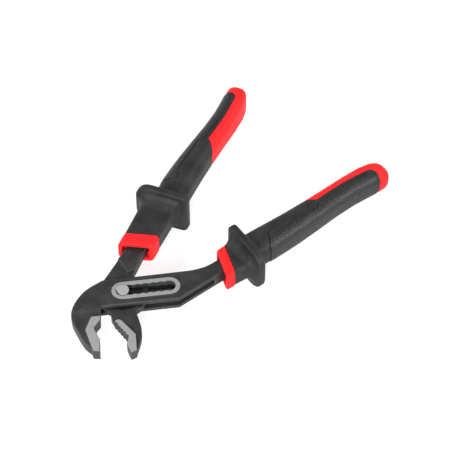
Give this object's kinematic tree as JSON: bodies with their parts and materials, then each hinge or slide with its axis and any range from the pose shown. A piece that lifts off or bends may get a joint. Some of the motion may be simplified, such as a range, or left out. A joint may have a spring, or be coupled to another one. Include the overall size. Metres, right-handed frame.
{
  "type": "pipe pliers",
  "caption": "Box-joint pipe pliers with a scalloped adjusting slot, a hooked jaw, a toothed small jaw and red and black plastic grips with hand guards.",
  "frame": {"origin": "centre of the bounding box of the drawn, half-open pose, at the height of the lowest faces of the hand guards", "axes": "+X along the bisector of the handles, from the jaws to the handle ends; +Z square to the flat of the tool, out of the face with the pin's head; +Y towards the handle of the small jaw"},
  "size_m": [0.2486, 0.1416, 0.0326],
  "materials": {
    "lever_steel": "satin black coated forging, ground bright on the jaw bands and the slot rim",
    "pin_steel": "fine blasted bare steel",
    "hard_red": "satin moulded red plastic",
    "hard_black": "finely grained moulded plastic",
    "soft_black": "soft moulding with a rough grain"
  },
  "bodies": {
    "outer": {"outer_lever": "lever_steel", "right_grip_core": "hard_red", "right_grip_shell": "hard_black", "right_grip_inlay": "soft_black"},
    "slider": {"pivot_washer": "pin_steel"},
    "inner": {"inner_lever": "lever_steel", "pivot_pin": "pin_steel", "left_grip_core": "hard_red", "left_grip_shell": "hard_black", "left_grip_inlay": "soft_black"}
  },
  "joints": [
    {"name": "jaw_adjust", "type": "slide", "parent": "outer", "child": "slider", "axis": [0.7071, -0.7071, 0], "range_m": [0, 0.0306]},
    {"name": "jaw_pivot", "type": "hinge", "parent": "slider", "child": "inner", "pos_m": [-0.0756, 0.01066, 0.0163], "axis": [0, 0, 1], "range_deg": [-13, 59]}
  ]
}
